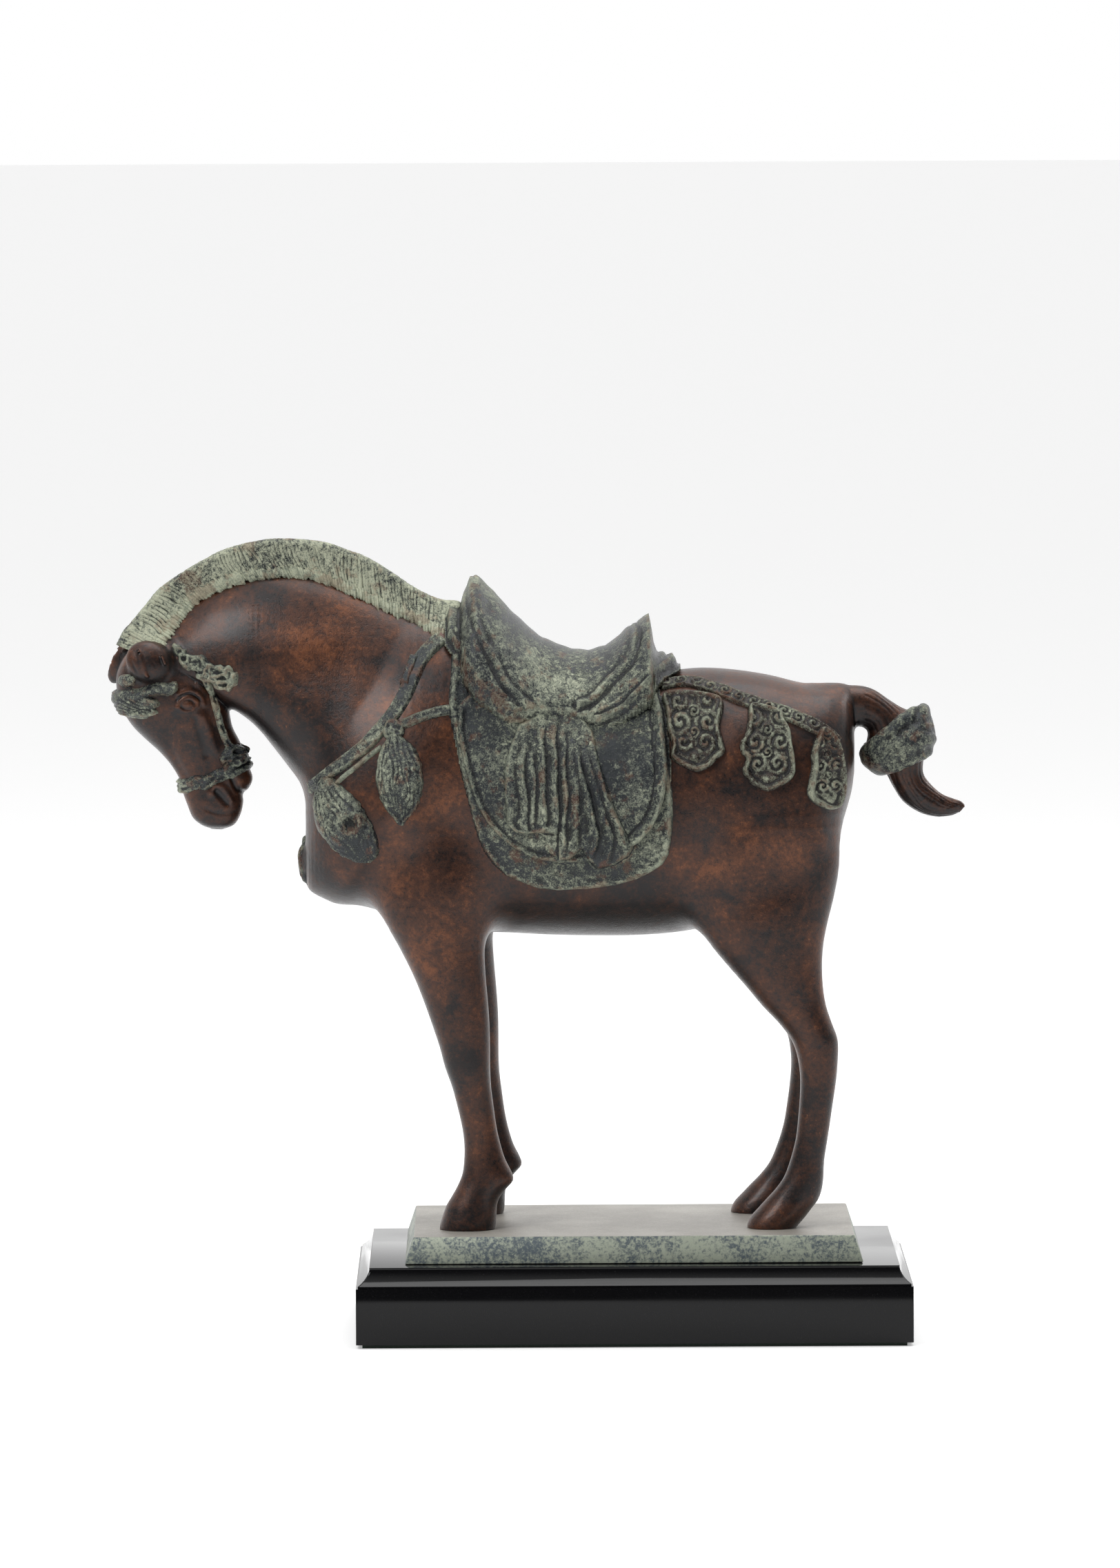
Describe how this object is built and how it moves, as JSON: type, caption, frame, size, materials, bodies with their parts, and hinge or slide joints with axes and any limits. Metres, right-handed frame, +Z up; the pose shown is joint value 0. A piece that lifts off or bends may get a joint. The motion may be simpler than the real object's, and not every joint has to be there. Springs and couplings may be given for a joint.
{
  "type": "horse statue",
  "caption": "Bronze figure of a standing saddled horse with arched neck and tied tail, fixed to a bevelled bronze plate on a black lacquered plinth.",
  "frame": {"origin": "middle of the felt's underside, on the surface that the statue stands on", "axes": "+Z up, +X from the head towards the tail, -Y to the horse's near (left) side"},
  "size_m": [0.409, 0.1716, 0.3795],
  "materials": {
    "brown_bronze": "waxed reddish-brown patina over cast bronze, rubbed brighter on the high places",
    "verdigris_bronze": "pale grey-green verdigris over blue-black patina on cast bronze",
    "plate_bronze": "grey-green patinated cast bronze plate",
    "black_lacquer": "black semi-gloss lacquer over a moulded wooden block",
    "felt": "dark green wool felt",
    "zinc_steel": "zinc-plated steel"
  },
  "bodies": {
    "root": {"torso_casting": "brown_bronze", "neck_casting": "brown_bronze", "head_casting": "brown_bronze", "foreleg_near": "brown_bronze", "foreleg_far": "brown_bronze", "hind_leg_near": "brown_bronze", "hind_leg_far": "brown_bronze", "tail_casting": "brown_bronze", "mane_crest": "verdigris_bronze", "tail_tie": "verdigris_bronze", "saddle_cloth": "verdigris_bronze", "saddle_seat": "verdigris_bronze", "saddle_skirt_near": "verdigris_bronze", "saddle_drape_near": "verdigris_bronze", "breast_collar_near": "verdigris_bronze", "shoulder_tassel_near": "verdigris_bronze", "chest_tassel_near": "verdigris_bronze", "crupper_near": "verdigris_bronze", "crupper_pendant_near_1": "verdigris_bronze", "crupper_pendant_near_2": "verdigris_bronze", "crupper_pendant_near_3": "verdigris_bronze", "cheekpiece_near": "verdigris_bronze", "saddle_skirt_far": "verdigris_bronze", "saddle_drape_far": "verdigris_bronze", "breast_collar_far": "verdigris_bronze", "shoulder_tassel_far": "verdigris_bronze", "chest_tassel_far": "verdigris_bronze", "crupper_far": "verdigris_bronze", "crupper_pendant_far_1": "verdigris_bronze", "crupper_pendant_far_2": "verdigris_bronze", "crupper_pendant_far_3": "verdigris_bronze", "cheekpiece_far": "verdigris_bronze", "front_tassel": "verdigris_bronze", "noseband": "verdigris_bronze", "browband": "verdigris_bronze", "base_plate": "plate_bronze", "plinth": "black_lacquer", "felt_pad": "felt", "plinth_screw_front": "zinc_steel", "plinth_washer_front": "zinc_steel", "plinth_screw_rear": "zinc_steel", "plinth_washer_rear": "zinc_steel", "foreleg_near_stud": "zinc_steel", "foreleg_near_washer": "zinc_steel", "foreleg_near_nut": "zinc_steel", "foreleg_far_stud": "zinc_steel", "foreleg_far_washer": "zinc_steel", "foreleg_far_nut": "zinc_steel", "hind_leg_near_stud": "zinc_steel", "hind_leg_near_washer": "zinc_steel", "hind_leg_near_nut": "zinc_steel", "hind_leg_far_stud": "zinc_steel", "hind_leg_far_washer": "zinc_steel", "hind_leg_far_nut": "zinc_steel"}
  },
  "joints": []
}
